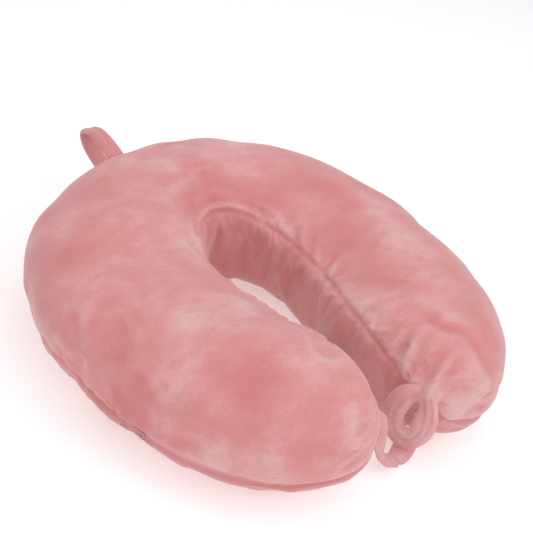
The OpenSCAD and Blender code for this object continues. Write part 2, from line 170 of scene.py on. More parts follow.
def skin(at, depth):
    """Points of the pillow's surface, or of a layer at a depth below it."""
    angle = np.radians(at["angle"])
    top = np.sin(angle) >= 0
    power = np.where(top, 2/TOP_ROUND, 2/BOTTOM_ROUND)
    waist = WIDEST_AT*height(at["run"])
    rise = np.where(top, height(at["run"]) - waist - depth, waist + SAG - depth)
    off_seam = at["angle"] - np.where(at["angle"] > 180, 360, 0) - OUTER_SEAM
    recess = ZIP_RECESS*smooth((at["run"] - ZIP_START)/ZIP_RECESS_ENDS + 1)
    recess = recess*smooth((ZIP_END - at["run"])/ZIP_RECESS_ENDS + 1)
    recess = recess*smooth((ZIP_RECESS_SPREAD - np.abs(off_seam))/ZIP_RECESS_FADE)
    recess = recess*(at["side"] < 0)*(depth > COVER_DEPTH)
    outward_by = (half_width(at["run"]) - depth - recess)*at["across"]
    outward_by = outward_by*signed_power(np.cos(angle), power)
    z = waist + rise*at["up"]*signed_power(np.sin(angle), power)
    return place(at["run"] - depth*at["cap"], outward_by, np.maximum(z, depth), at["side"])


def grid_numbers(rows, columns):
    """Vertex numbers of a grid whose first and last rows each shrink to one point."""
    numbers = 1 + (np.arange(rows)[:, None] - 1)*columns + np.arange(columns)[None, :]
    numbers[0] = 0
    numbers[-1] = 1 + (rows - 2)*columns
    return np.hstack([numbers, numbers[:, :1]])


def grid_points(values):
    """What such a grid holds at its points, each point once."""
    middle = values[1:-1].reshape(-1, *values.shape[2:])
    return np.concatenate([values[:1, 0], middle, values[-1:, 0]])


def grid_faces(numbers):
    """Quads over a block of vertex numbers, and triangles where two corners are one."""
    corners = np.stack([numbers[:-1, :-1], numbers[:-1, 1:], numbers[1:, 1:], numbers[1:, :-1]], -1)
    return [tuple(dict.fromkeys(face)) for face in corners.reshape(-1, 4).tolist()]


def mesh_piece(name, points, faces):
    """A smooth-shaded object at the origin, made from points and faces."""
    mesh = bpy.data.meshes.new(name)
    mesh.from_pydata(np.asarray(points).tolist(), [], faces)
    mesh.shade_smooth()
    piece = bpy.data.objects.new(name, mesh)
    bpy.context.scene.collection.objects.link(piece)
    return piece


def vertex_normals(mesh):
    found = np.zeros(len(mesh.vertices)*3, np.float32)
    mesh.vertex_normals.foreach_get("vector", found)
    return found.reshape(-1, 3).astype(float)


def only_used(faces):
    """The vertex numbers that faces use, and the same faces with those numbered from 0."""
    used = sorted({corner for face in faces for corner in face})
    place_of = {old: new for new, old in enumerate(used)}
    return used, [tuple(place_of[corner] for corner in face) for face in faces]


def walled(name, points, normals, faces, wall):
    """A closed shell: the given faces, the same faces a wall's thickness inside them, and a
    strip round each open edge. The outer faces keep the normals that they are given."""
    used, outer = only_used(faces)
    count = len(used)
    inner = [tuple(corner + count for corner in reversed(face)) for face in outer]
    sides = {(a, b) for face in outer for a, b in zip(face, face[1:] + face[:1])}
    rim = [(b, a, a + count, b + count) for a, b in sorted(sides) if (b, a) not in sides]
    skin_in = points[used] - normals[used]*np.asarray(wall)[used][:, None]
    piece = mesh_piece(name, np.vstack([points[used], skin_in]), outer + inner + rim)
    kept = np.vstack([normals[used], np.zeros((count, 3))])
    piece.data.normals_split_custom_set_from_vertices(kept.tolist())
    return piece


def bend_with_arm(piece):
    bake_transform(piece)


def linear(colour):
    """An sRGB hex colour as the linear values that a shader takes."""
    parts = [int(colour[i:i + 2], 16)/255 for i in (1, 3, 5)]
    return [p/12.92 if p <= 0.04045 else ((p + 0.055)/1.055)**2.4 for p in parts] + [1]


def new_material(name):
    material = bpy.data.materials.new(name)
    material.use_nodes = True
    material.node_tree.nodes.clear()
    return material


def add_node(material, kind, sockets=None, **settings):
    """A node with its settings, and with each socket set to a value or linked to an output."""
    tree = material.node_tree
    node = tree.nodes.new(kind)
    for key, value in settings.items():
        setattr(node, key, value)
    for key, value in (sockets or {}).items():
        if isinstance(value, bpy.types.NodeSocket):
            tree.links.new(value, node.inputs[key])
        else:
            node.inputs[key].default_value = value
    return node


def stops(ramp, *colours):
    """Sets a colour ramp's stops, given as (position, colour)."""
    elements = ramp.color_ramp.elements
    while len(elements) < len(colours):
        elements.new(0.5)
    for element, (position, colour) in zip(elements, colours):
        element.position = position
        element.color = linear(colour)
    return ramp


def finish_material(material, shader):
    add_node(material, "ShaderNodeOutputMaterial", {"Surface": shader.outputs["BSDF"]})
    return material


# Open-cell foam, cream, moulded: a dry matt skin pitted with cells about a millimetre wide.
CELL_SIZE, TINT_SIZE = 0.0012, 0.03
foam = new_material("moulded_polyurethane_foam")
where = add_node(foam, "ShaderNodeTexCoord").outputs["Object"]
cells = add_node(foam, "ShaderNodeTexVoronoi", {"Vector": where, "Scale": 1/CELL_SIZE})
tint = add_node(foam, "ShaderNodeTexNoise", {"Vector": where, "Scale": 1/TINT_SIZE, "Detail": 3.0})
foam_colour = stops(add_node(foam, "ShaderNodeValToRGB", {"Fac": tint.outputs["Fac"]}),
                    (0.3, "#efe4c6"), (0.7, "#f6efdc"))
pits = add_node(foam, "ShaderNodeBump", {"Height": cells.outputs["Distance"], "Strength": 0.5,
                                         "Distance": 0.0006})
finish_material(foam, add_node(foam, "ShaderNodeBsdfPrincipled", {
    "Base Color": foam_colour.outputs["Color"], "Roughness": 0.95, "Normal": pits.outputs["Normal"]}))

CORE_ROWS, CORE_COLUMNS = 161, 80
core_at = stations(CORE_ROWS, CORE_COLUMNS)
core_numbers = grid_numbers(CORE_ROWS, CORE_COLUMNS)
core_points = grid_points(skin(core_at, FOAM_DEPTH))
middle_row = CORE_ROWS//2
HALF_ROWS = {"left": slice(0, middle_row + 1), "right": slice(middle_row, CORE_ROWS)}
for half, rows in HALF_ROWS.items():
    block = core_numbers[rows]
    cut = core_numbers[middle_row, :-1].tolist()
    faces = grid_faces(block) + [tuple(reversed(cut)) if half == "right" else tuple(cut)]
    used, faces = only_used(faces)
    core = mesh_piece("foam_" + half, core_points[used], faces)
    core.data.materials.append(foam)
    bend_with_arm(core)
    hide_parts("foam_core_back", "foam_core_" + half + "_arm")

# ---------------------------------------------------------------------------------------
# Liner
# A thin knit bag that is sewn shut round the foam, so that the cover slides over it. It is
# plain off-white polyester jersey, and it stays on when the cover is washed.

LINER_DEPTH = 0.0064
LINER_WALL = 0.001

# Polyester jersey, off-white, with no shine: fine ribs of stitches, drawn about 2.4 mm apart,
# twice as far as real ones. A wave texture's bands are a tenth of pi apart at a scale of 1.
WAVE_PERIOD = math.pi/10
RIB_SPACING = 0.002367
jersey = new_material("polyester_jersey")
where = add_node(jersey, "ShaderNodeTexCoord").outputs["Object"]
ribs = add_node(jersey, "ShaderNodeTexWave", {"Vector": where, "Scale": WAVE_PERIOD/RIB_SPACING,
                                              "Distortion": 1.5, "Detail": 2.0})
jersey_colour = stops(add_node(jersey, "ShaderNodeValToRGB", {"Fac": ribs.outputs["Fac"]}),
                      (0.0, "#dcd6d0"), (1.0, "#f0ece8"))
knit = add_node(jersey, "ShaderNodeBump", {"Height": ribs.outputs["Fac"], "Strength": 0.4,
                                           "Distance": 0.0003})
finish_material(jersey, add_node(jersey, "ShaderNodeBsdfPrincipled", {
    "Base Color": jersey_colour.outputs["Color"], "Roughness": 0.9, "Normal": knit.outputs["Normal"]}))

liner_points = grid_points(skin(core_at, LINER_DEPTH))
liner_form = mesh_piece("liner_form", liner_points, grid_faces(core_numbers))
liner_normals = vertex_normals(liner_form.data)
bpy.data.objects.remove(liner_form)
for half, rows in HALF_ROWS.items():
    liner = walled("liner_" + half, liner_points, liner_normals, grid_faces(core_numbers[rows]),
                   np.full(len(liner_points), LINER_WALL))
    liner.data.materials.append(jersey)
    bend_with_arm(liner)
    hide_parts("liner_back", "liner_" + half + "_arm")

# ---------------------------------------------------------------------------------------
# Velour cover
# Two panels of dusty-rose velour, a top and an underside, sewn together inside out along one
# seam that runs low round the outside and high along the neck. The foam stretches them tight,
# and the seams pull in. The cloth at the right tip is gathered where the closure is sewn in.

COVER_WALL = 0.0016
SEAM_WALL, SEAM_WALL_REACH = 0.0011, 0.008

# The cloth simulation: a cover with a little spare cloth is blown up against its held seams.
SIM_ROWS, SIM_COLUMNS = 151, 76
SIM_DEPTH = 0.0016
SIM_FRAMES = 20
SIM_PRESSURE = 4
SIM_EXTRA_CLOTH = 0.03
SIM_STRETCH, SIM_BEND = 15, 1.2
SIM_WEIGHT = 0.3
HELD_BELOW, HELD_THERE = 0.003, 0.9
MOST_SWELL, MOST_SINK = 0.0022, 0.0012
BROAD = 5


def simulated_swell(at, numbers):
    """How far each grid point moves when the cover is blown up by the foam inside it."""
    start = grid_points(skin(at, SIM_DEPTH))
    form = mesh_piece("cover_form", start, grid_faces(numbers))
    held = form.vertex_groups.new(name="held")
    seam_columns = [0, SIM_COLUMNS//2]
    held.add(np.unique(numbers[:, seam_columns]).tolist(), 1, "REPLACE")
    held.add(np.nonzero(start[:, 2] < HELD_BELOW)[0].tolist(), HELD_THERE, "REPLACE")
    bpy.context.view_layer.objects.active = form
    cloth = form.modifiers.new("Cloth", "CLOTH")
    cloth.collision_settings.use_collision = False
    cloth.settings.quality = 5
    cloth.settings.mass = SIM_WEIGHT
    cloth.settings.tension_stiffness = SIM_STRETCH
    cloth.settings.compression_stiffness = SIM_STRETCH
    cloth.settings.bending_stiffness = SIM_BEND
    cloth.settings.shrink_min = -SIM_EXTRA_CLOTH
    cloth.settings.use_pressure = True
    cloth.settings.uniform_pressure_force = SIM_PRESSURE
    cloth.settings.effector_weights.gravity = 0
    cloth.settings.vertex_group_mass = held.name
    for step in range(1, SIM_FRAMES + 1):
        bpy.context.scene.frame_set(step)
    bpy.ops.object.modifier_apply(modifier=cloth.name)
    blown = np.array([v.co for v in form.data.vertices], float)
    normals = vertex_normals(form.data)
    bpy.data.objects.remove(form)
    return np.sum((blown - start)*normals, axis=1)[numbers[:, :-1]]


def blurred(field, reach):
    """A field on the grid, averaged over reach points each way; columns go round."""
    window = np.ones(2*reach + 1)/(2*reach + 1)
    rows = np.pad(field, ((reach, reach), (0, 0)), mode="edge")
    rows = np.apply_along_axis(np.convolve, 0, rows, window, "valid")
    columns = np.pad(rows, ((0, 0), (reach, reach)), mode="wrap")
    return np.apply_along_axis(np.convolve, 1, columns, window, "valid")


def resampled(field, count, axis, wrap):
    """A field on a coarse grid read at count places along an axis, by cubic curves."""
    field = np.moveaxis(field, axis, 0)
    size = len(field)
    at = np.arange(count)*(size/count) if wrap else np.linspace(0, size - 1, count)
    first = np.floor(at).astype(int)
    f = (at - first).reshape(-1, *[1]*(field.ndim - 1))
    weights = [(-f + 2*f**2 - f**3)/2, (2 - 5*f**2 + 3*f**3)/2,
               (f + 4*f**2 - 3*f**3)/2, (-f**2 + f**3)/2]
    total = 0
    for offset, weight in zip((-1, 0, 1, 2), weights):
        index = (first + offset) % size if wrap else np.clip(first + offset, 0, size - 1)
        total = total + weight*field[index]
    return np.moveaxis(total, 0, axis)


COVER_ROWS, COVER_COLUMNS = 421, 220
cover_at = stations(COVER_ROWS, COVER_COLUMNS)
cover_numbers = grid_numbers(COVER_ROWS, COVER_COLUMNS)
cover = skin(cover_at, 0)
# The foam inside keeps the pillow's overall shape, so only the cloth's own folds and
# puffs are taken from the simulation, and none may sink far into the foam.
sim_at = stations(SIM_ROWS, SIM_COLUMNS)
swell = simulated_swell(sim_at, grid_numbers(SIM_ROWS, SIM_COLUMNS))
folds = swell - blurred(blurred(swell, BROAD), BROAD)
most = np.where(folds > 0, MOST_SWELL, MOST_SINK)
folds = most*np.tanh(folds/most)
sim_folds = resampled(resampled(folds, COVER_ROWS, 0, False), COVER_COLUMNS, 1, True)


def grid_normals(points):
    down_columns = np.roll(points, -1, 1) - np.roll(points, 1, 1)
    down_rows = np.gradient(points, axis=0)
    return unit(np.cross(down_columns, down_rows))


def bell(distance, reach):
    """1 where the distance is nothing, about a third at the reach and nothing past twice it."""
    return np.exp(-(distance/reach)**2)


def waves(position, length, seed):
    """An uneven row of waves about a length apart, from -1 to 1."""
    drift = 1.7*np.sin(position/length*1.31 + seed) + 1.1*np.sin(position/length*0.57 + 2.3*seed)
    return np.sin(2*math.pi*position/length + drift)


side, run, angle = cover_at["side"], cover_at["run"], cover_at["angle"]
wrapped = angle - np.where(angle > 180, 360, 0)
widths = np.linalg.norm(np.roll(cover, -1, 1) - cover, axis=-1)
from_outer = np.cumsum(widths, axis=1) - widths
girth = np.sum(widths, axis=1, keepdims=True)
inner_column = COVER_COLUMNS//2
to_outer = np.minimum(from_outer, girth - from_outer)
to_inner = np.abs(from_outer - from_outer[:, inner_column:inner_column + 1])
POLE_GIRTH = 0.15
from_pole = np.clip(girth/POLE_GIRTH, 0, 1)

# Seams: a narrow groove, a soft shoulder beside it, and puckers that fade away from it and
# come and go along it
GROOVE, GROOVE_WIDTH = 0.0013, 0.0019
SHOULDER, SHOULDER_AT, SHOULDER_WIDTH = 0.0005, 0.006, 0.005
PUCKER, PUCKER_SPACING = 0.00042, 0.013
PUCKER_START, PUCKER_REACH = 0.0025, 0.010
PUCKER_MEAN, PUCKER_CHANGE, PUCKER_CHANGE_LENGTH = 0.55, 0.45, 0.061
relief = np.zeros(run.shape)
for distance, seed in ((to_outer, 1), (to_inner, 4)):
    seam_relief = SHOULDER*bell(distance - SHOULDER_AT, SHOULDER_WIDTH)
    seam_relief -= GROOVE*bell(distance, GROOVE_WIDTH)
    strength = PUCKER_MEAN + PUCKER_CHANGE*waves(side*run, PUCKER_CHANGE_LENGTH, seed + 2)
    fading = np.exp(-distance/PUCKER_REACH)*(1 - np.exp(-distance/PUCKER_START))
    seam_relief += PUCKER*waves(side*run, PUCKER_SPACING, seed)*strength*fading
    relief += seam_relief*from_pole

# Soft hollows where the foam has been pressed: side, run, angle, radius and depth. In the
# search for a hollow's place, a degree counts as a millimetre.
DEGREE_AS_LENGTH = 0.001
HOLLOWS = [
    (-1, 0.173, 50, 0.024, 0.0022), (-1, 0.214, 42, 0.026, 0.0020),
    (-1, 0.248, 30, 0.022, 0.0010), (-1, 0.130, 70, 0.030, 0.0012),
    (-1, 0.299, 35, 0.006, 0.0012), (1, 0.172, 128, 0.022, 0.0016),
    (1, 0.215, 80, 0.030, 0.0014), (1, 0.100, 100, 0.030, 0.0012),
    (1, 0.020, 62, 0.026, 0.0010), (-1, 0.060, 80, 0.030, 0.0010),
]
for hollow_side, hollow_run, hollow_angle, radius, depth in HOLLOWS:
    off_place = np.abs(run - hollow_run) + np.abs(wrapped - hollow_angle)*DEGREE_AS_LENGTH
    spot = np.argmin(off_place + (side != hollow_side))
    centre = cover.reshape(-1, 3)[spot]
    relief -= depth*bell(np.linalg.norm(cover - centre, axis=-1), radius)

# Gathers: pleats that run up over the right tip from its seam, where the closure loop is
# sewn in. Each is given by its place along the seam, half width, height and length.
GATHERS = [
    (-0.026, 0.0030, 0.0016, 0.034), (-0.015, 0.0038, 0.0032, 0.050), (-0.006, 0.0024, 0.0014, 0.034),
    (0.003, 0.0038, 0.0046, 0.062), (0.0105, 0.0022, 0.0018, 0.036), (0.0185, 0.0036, 0.0046, 0.064),
    (0.0255, 0.0018, 0.0018, 0.038), (0.0315, 0.0020, 0.0015, 0.030), (0.0375, 0.0018, 0.0010, 0.024),
    (0.043, 0.0018, 0.0008, 0.020),
]
# The pleats lean and fan out as they go up, sway a little, and lie between shallow valleys,
# which are given as shares of a pleat's height and half width.
GATHER_LEAN, GATHER_FAN = 0.16, 7
GATHER_SWAY, GATHER_SWAY_LENGTH, GATHER_SWAY_PHASE = 0.0016, 0.011, 300
GATHER_BELOW, GATHER_RISE, GATHER_FADE = 0.002, 0.008, 0.6
VALLEY_DEPTH, VALLEY_WIDTH = 0.45, 2.1
# The seam dips towards the tip's outer side and lifts towards the neck.
SEAM_DIP, SEAM_DIP_WIDTH = 0.020, 0.045
SEAM_LIFT, SEAM_LIFT_WIDTH = 0.012, 0.030
BACK_AS_UP = 0.8
TIP_MARGIN, TIP_FADE = 0.02, 0.03
OUTER_FADE, INNER_FADE = 4, 6
tip_at = np.append(spine(TIP_TURN) + [0, NECK_Y], 0)
tip_ahead = np.append(heading(TIP_TURN), 0)
tip_front = np.array([-tip_ahead[1], tip_ahead[0], 0])
TIP_Z = WIDEST_AT*height(HALF_RUN)
tip_across = (cover - tip_at) @ tip_front
tip_back = -(cover - tip_at) @ tip_ahead
seam_line_z = TIP_Z - SEAM_DIP*smooth(tip_across/SEAM_DIP_WIDTH)
seam_line_z += SEAM_LIFT*smooth(-tip_across/SEAM_LIFT_WIDTH)
up_tip = cover[..., 2] - seam_line_z + BACK_AS_UP*tip_back
on_right_tip = (side > 0)*smooth((run - CAP_START + TIP_MARGIN)/TIP_FADE)
on_right_tip = on_right_tip*smooth((wrapped - OUTER_SEAM)/OUTER_FADE)
on_right_tip = on_right_tip*smooth((INNER_SEAM + INNER_FADE - wrapped)/INNER_FADE)
for gather_at, gather_width, gather_height, gather_length in GATHERS:
    bow = gather_at*(1 + GATHER_FAN*up_tip) + GATHER_LEAN*up_tip
    bow = bow + GATHER_SWAY*np.sin(up_tip/GATHER_SWAY_LENGTH + gather_at*GATHER_SWAY_PHASE)
    fold = bell(tip_across - bow, gather_width)
    fold -= VALLEY_DEPTH*bell(tip_across - bow, VALLEY_WIDTH*gather_width)
    reach = smooth((up_tip + GATHER_BELOW)/GATHER_RISE)
    reach = reach*smooth((gather_length - up_tip)/(GATHER_FADE*gather_length))
    relief += gather_height*fold*reach*on_right_tip

# The gathered cloth bulges over the seam, and it ends in a swelling and a crease that arches
# over the tip.
GATHERED_FROM, GATHERED_TO, GATHERED_FADE = -0.030, 0.042, 0.020
OVERHANG, OVERHANG_AT, OVERHANG_WIDTH = 0.0016, 0.007, 0.009
CREASE_AT, CREASE_WIDTH, CREASE_DEPTH = 0.060, 0.0040, 0.0021
CREASE_SWAY, CREASE_SWAY_LENGTH = 0.004, 0.013
CREASE_FALL, CREASE_PEAK = 0.25, 0.006
SWELLING, SWELLING_BELOW, SWELLING_WIDTH = 0.7, 0.013, 0.010
near_loop = smooth((tip_across - GATHERED_FROM)/GATHERED_FADE)
near_loop = near_loop*smooth((GATHERED_TO - tip_across)/GATHERED_FADE)
relief += OVERHANG*bell(up_tip - OVERHANG_AT, OVERHANG_WIDTH)*near_loop*on_right_tip
crease_at = CREASE_AT + CREASE_SWAY*np.sin(tip_across/CREASE_SWAY_LENGTH)
crease_at -= CREASE_FALL*np.abs(tip_across - CREASE_PEAK)
crease = bell(up_tip - crease_at, CREASE_WIDTH)
swelling = bell(up_tip - crease_at + SWELLING_BELOW, SWELLING_WIDTH)
relief += (SWELLING*swelling - crease)*CREASE_DEPTH*near_loop*on_right_tip

# A short slanting fold springs from the inner seam of the right arm, with a low ridge beside.
FOLD_RUN, FOLD_LENGTH, FOLD_WIDTH, FOLD_DEPTH = 0.186, 0.026, 0.0022, 0.0014
FOLD_SLANT, FOLD_FADE = 0.55, 0.016
RIDGE_AT, RIDGE_WIDTH, RIDGE_SHARE = 0.006, 0.005, 0.6
fold_line = run - FOLD_RUN + FOLD_SLANT*to_inner
fold_here = (side > 0)*(wrapped < INNER_SEAM)*(wrapped > 0)*smooth((FOLD_LENGTH - to_inner)/FOLD_FADE)
relief -= FOLD_DEPTH*bell(fold_line, FOLD_WIDTH)*fold_here
relief += RIDGE_SHARE*FOLD_DEPTH*bell(fold_line - RIDGE_AT, RIDGE_WIDTH)*fold_here

# Low, broad unevenness of foam under cloth: rows of waves that each run another way
UNEVEN, UNEVEN_ROWS = 0.0003, 6
UNEVEN_SHORTEST, UNEVEN_STEP = 0.034, 0.009
for k in range(UNEVEN_ROWS):
    lean = np.array([math.cos(2.4*k + 0.5), math.sin(2.4*k + 0.5), math.sin(1.7*k)*0.6])
    relief += UNEVEN*np.sin(cover @ lean*2*math.pi/(UNEVEN_SHORTEST + UNEVEN_STEP*k) + 1.9*k)

relief += sim_folds*smooth(from_pole*3)

# Painted light and shade in the pile's colour: paler on ridges as a painted sheen and on the left
# tip as painted light, and deeper in creases and round the left of the back as painted shade.
PAINTED_RIDGE_HEIGHT, PAINTED_RIDGE_REACH = 0.0011, 4
PAINTED_TIP_LIGHT, PAINTED_TIP_LIGHT_FROM, PAINTED_TIP_LIGHT_FADE = 0.65, 0.250, 0.05
PAINTED_FLANK_SHADE, PAINTED_FLANK_SHADE_AT, PAINTED_FLANK_SHADE_SPREAD = 0.8, 12, 26
PAINTED_FLANK_SHADE_TO, PAINTED_FLANK_SHADE_FADE = 0.190, 0.08
lay = np.tanh((relief - blurred(blurred(relief, PAINTED_RIDGE_REACH), PAINTED_RIDGE_REACH))/PAINTED_RIDGE_HEIGHT)
lay += PAINTED_TIP_LIGHT*smooth((run - PAINTED_TIP_LIGHT_FROM)/PAINTED_TIP_LIGHT_FADE)*(side < 0)
lay -= PAINTED_FLANK_SHADE*bell(wrapped - PAINTED_FLANK_SHADE_AT, PAINTED_FLANK_SHADE_SPREAD)*smooth((PAINTED_FLANK_SHADE_TO - run)/PAINTED_FLANK_SHADE_FADE)*(side < 0)

# The relief fades out towards the flat underside.
FADE_HEIGHT, FADE_LEFT = 0.006, 0.15
normals = grid_normals(cover)
cover = cover + normals*(relief*smooth(cover[..., 2]/FADE_HEIGHT + FADE_LEFT))[..., None]

# The zip's opening: the top panel hangs over it as a lip and the underside stops below it.
LIP_DROP, LIP_BULGE, LIP_REACH = 0.0028, 0.0042, 0.020
SILL_DROP, SILL_REACH = 0.0039, 0.014
SLOT_MARGIN, SLOT_END, SLOT_SPREAD = 0.0015, 0.008, 75
FLOOR_GAP = 0.0002
slot = smooth((run - ZIP_START + SLOT_MARGIN)/SLOT_END)*smooth((ZIP_END + SLOT_MARGIN - run)/SLOT_END)
slot = slot*(side < 0)*(np.abs(wrapped - OUTER_SEAM) < SLOT_SPREAD)
on_top = np.arange(COVER_COLUMNS)[None, :] < inner_column
off_seam_z = np.abs(cover[..., 2] - cover[:, :1, 2])
lip = slot*on_top*smooth((LIP_REACH - off_seam_z)/LIP_REACH)
sill = slot*~on_top*np.clip(1 - off_seam_z/SILL_REACH, 0, 1)
lip_rise = slot*on_top*np.clip(1 - off_seam_z/LIP_REACH, 0, 1)
cover[..., 2] += LIP_DROP*lip_rise - SILL_DROP*sill
cover = cover + unit(normals*[1, 1, 0])*(LIP_BULGE*lip)[..., None]
cover[..., 2] = np.maximum(cover[..., 2], FLOOR_GAP)

# Velour: short brushed pile on a knit back. The pile lies in patches that look lighter or
# darker, its fibres clump every 2 to 3 mm, and grazing light catches it as a pale rim.
PATCH_SIZE, STROKE_SIZE, CLUMP_SIZE = 0.052, 0.013, 0.0026
PATCH_SHARE, STROKE_SHARE, CLUMP_SHARE = 0.60, 0.20, 0.20
# How strongly the cover panels' painted light and shade move the pile's colour
PAINTED_LIGHT_SHARE = 0.085
PILE_HEIGHT = 0.0011


def brushed_velour(name, deep, middle, pale, lie):
    """Velour in three tones, with its pile lying across an angle in the floor's plane."""
    velour = new_material(name)
    where = add_node(velour, "ShaderNodeTexCoord").outputs["Object"]
    patches = add_node(velour, "ShaderNodeTexNoise", {
        "Vector": where, "Scale": 1/PATCH_SIZE, "Detail": 2.5, "Roughness": 0.5, "Distortion": 0.4})
    brushed = add_node(velour, "ShaderNodeMapping", {
        "Vector": where, "Rotation": (0, 0, math.radians(lie)), "Scale": (1.0, 1.9, 1.4)})
    strokes = add_node(velour, "ShaderNodeTexNoise", {
        "Vector": brushed.outputs["Vector"], "Scale": 1/STROKE_SIZE, "Detail": 4.0, "Roughness": 0.6})
    clumps = add_node(velour, "ShaderNodeTexNoise", {
        "Vector": brushed.outputs["Vector"], "Scale": 1/CLUMP_SIZE, "Detail": 4.0, "Roughness": 0.75})
    # The cover panels' painted light and shade: paler on ridges and the left tip, deeper in creases and round the
    # left of the back
    painted_light_map = add_node(velour, "ShaderNodeAttribute", attribute_name="lay")
    shade = 0.0
    for pattern, share in ((patches, PATCH_SHARE), (strokes, STROKE_SHARE), (clumps, CLUMP_SHARE),
                           (painted_light_map, PAINTED_LIGHT_SHARE)):
        added = add_node(velour, "ShaderNodeMath", {0: pattern.outputs["Fac"], 1: share, 2: shade},
                         operation="MULTIPLY_ADD")
        shade = added.outputs[0]
    colour = stops(add_node(velour, "ShaderNodeValToRGB", {"Fac": shade}),
                   (0.355, deep), (0.5, middle), (0.655, pale))
    pile_height = add_node(velour, "ShaderNodeMath", {
        0: strokes.outputs["Fac"], 1: 0.5, 2: clumps.outputs["Fac"]}, operation="MULTIPLY_ADD")
    pile = add_node(velour, "ShaderNodeBump", {
        "Height": pile_height.outputs[0], "Strength": 0.45, "Distance": PILE_HEIGHT})
    return finish_material(velour, add_node(velour, "ShaderNodeBsdfPrincipled", {
        "Base Color": colour.outputs["Color"], "Roughness": 0.92, "Specular IOR Level": 0.12,
        "Sheen Weight": 0.55, "Sheen Roughness": 0.5, "Sheen Tint": linear("#f8dcda"),
        "Normal": pile.outputs["Normal"]}))


velour = brushed_velour("brushed_polyester_velour", "#bf7475", "#c48485", "#cda0a1", 35)
# The underside panel is cut the other way of the cloth, so its pile runs another way. Its tones are
# set deeper as painted shade, for the inner wall and the underside.
velour_underside_shaded = brushed_velour("turned_polyester_velour", "#bb7172", "#c27f80", "#ca9394", 100)

cover_points = grid_points(cover)
cover_form = mesh_piece("cover_form", cover_points, grid_faces(cover_numbers))
cover_normals = vertex_normals(cover_form.data)
bpy.data.objects.remove(cover_form)
to_seam = grid_points(np.minimum(to_outer, to_inner))
cover_wall = mix(SEAM_WALL, COVER_WALL, smooth(to_seam/SEAM_WALL_REACH))
cover_painted_light = grid_points(lay)
cover_middle = COVER_ROWS//2
COVER_HALVES = {"left": slice(0, cover_middle + 1), "right": slice(cover_middle, COVER_ROWS)}
PANELS = {"top": slice(0, inner_column + 1), "bottom": slice(inner_column, COVER_COLUMNS + 1)}
for half, rows in COVER_HALVES.items():
    for panel_name, columns in PANELS.items():
        panel = walled(f"cover_{panel_name}_{half}", cover_points, cover_normals,
                       grid_faces(cover_numbers[rows, columns]), cover_wall)
        panel.data.materials.append(velour if panel_name == "top" else velour_underside_shaded)
        # Each panel carries the painted light and shade, worked out above, as a point attribute
        panel_painted_light = cover_painted_light[np.unique(cover_numbers[rows, columns])]
        painted_light_layer = panel.data.attributes.new("lay", "FLOAT", "POINT")
        painted_light_layer.data.foreach_set("value", np.tile(panel_painted_light, 2))
        bend_with_arm(panel)
        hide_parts(f"cover_{panel_name}_back", f"cover_{panel_name}_{half}_arm")

# ---------------------------------------------------------------------------------------
# Hang loop
# A flat tube of the velour, turned, pressed and folded in half, with both ends sewn into the
# back seam. It stands out from the pillow and opens into a teardrop.

HANG_LENGTH = 0.084
HANG_WIDTH, HANG_FLARE, FLARE_REACH = 0.0130, 0.008, 0.020
HANG_THICKNESS = 0.003
HANG_SEWN, HANG_STUFFED, HANG_SEWN_REACH = 0.0026, 0.0038, 0.014
HANG_OPEN = 0.017
# The loop bellies out past its opening's width, and closes to a teardrop by a power.
HANG_BELLY, HANG_TEAR = 0.65, 1.2
HANG_GAP = 0.0001
HANG_SEWN_IN = 0.0002
HANG_RISE = 12
HANG_STEPS, HANG_ROUND = 140, 40
HANG_RIDGE, HANG_RIDGES = 0.30, 4
RIDGE_CHANGE, RIDGE_CHANGE_LENGTH = 0.2, 0.008
FLAT_ACROSS, FLAT_DEEP = 0.6, 0.5
# The outer seam's place on the back's section: its angle, how far down it is and how far out
SEAM_SLOPE = math.radians(-OUTER_SEAM)
SEAM_SINK = (WIDEST_AT*BACK_HEIGHT + SAG)*math.sin(SEAM_SLOPE)**(2/BOTTOM_ROUND)
SEAM_OUT = BACK_WIDTH/2*math.cos(SEAM_SLOPE)**(2/BOTTOM_ROUND)
UPWARD = np.array([0, 0, 1])


def along_line(points):
    """Unit tangents of a row of points."""
    return unit(np.gradient(points, axis=0))


def section(count, across_power, deep_power):
    """The angles of a section's points, and how far each lies across it and through it."""
    turn = (np.arange(count) + 0.5)/count*2*math.pi
    return turn, signed_power(np.cos(turn), across_power), signed_power(np.sin(turn), deep_power)


def tube(name, centres, across, thick, closed=False):
    """A swept tube. across and thick hold each section's points along two directions, as
    (section, point, axis) offsets from that section's centre."""
    points = centres[:, None, :] + across + thick
    rows, columns = points.shape[:2]
    numbers = np.arange(rows*columns).reshape(rows, columns)
    numbers = np.hstack([numbers, numbers[:, :1]])
    if closed:
        numbers = np.vstack([numbers, numbers[:1]])
    faces = grid_faces(numbers)
    if not closed:
        faces += [tuple(reversed(numbers[0, :-1].tolist())), tuple(numbers[-1, :-1].tolist())]
    piece = mesh_piece(name, points.reshape(-1, 3), faces)
    bpy.ops.object.select_all(action="DESELECT")
    piece.select_set(True)
    bpy.context.view_layer.objects.active = piece
    bpy.ops.object.mode_set(mode="EDIT")
    bpy.ops.mesh.select_all(action="SELECT")
    bpy.ops.mesh.normals_make_consistent(inside=False)
    bpy.ops.object.mode_set(mode="OBJECT")
    return piece


